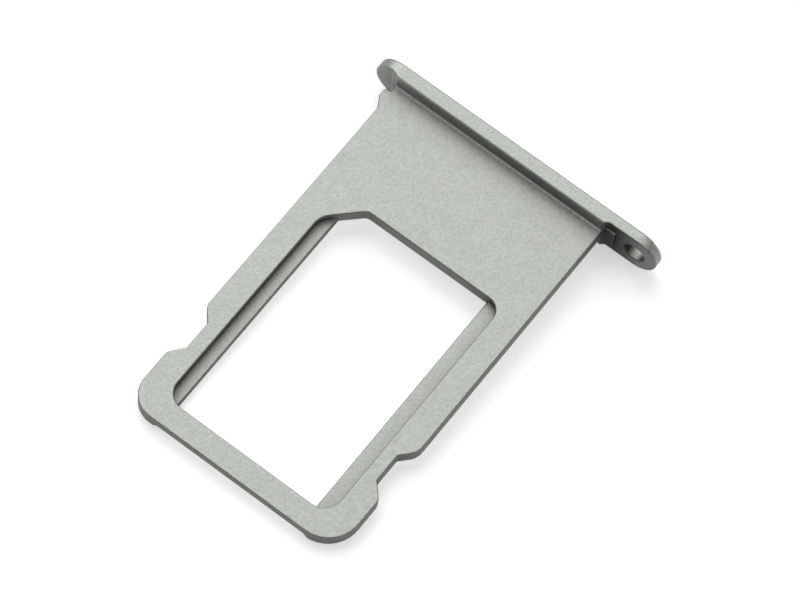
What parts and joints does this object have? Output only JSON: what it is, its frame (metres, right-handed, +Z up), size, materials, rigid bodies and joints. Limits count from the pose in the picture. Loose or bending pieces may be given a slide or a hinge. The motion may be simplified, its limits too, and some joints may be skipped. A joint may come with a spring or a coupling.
{
  "type": "sim card tray",
  "caption": "Flat machined aluminium SIM card tray: a stepped card window with a cut corner, notched side rails, a side catch and a pill-shaped end bar with an eject hole.",
  "frame": {"origin": "under the middle of the tray's overall box, level with the end bar's lowest edge", "axes": "+X along the end bar towards the eject hole, +Y from the entering end towards the bar, +Z up, the side the card is laid in from"},
  "size_m": [0.0156, 0.0202, 0.0023],
  "materials": {
    "anodised_aluminium": "fine bead-blasted and clear anodised, satin silver-grey"
  },
  "bodies": {
    "root": {"sim_tray": "anodised_aluminium"}
  },
  "joints": []
}
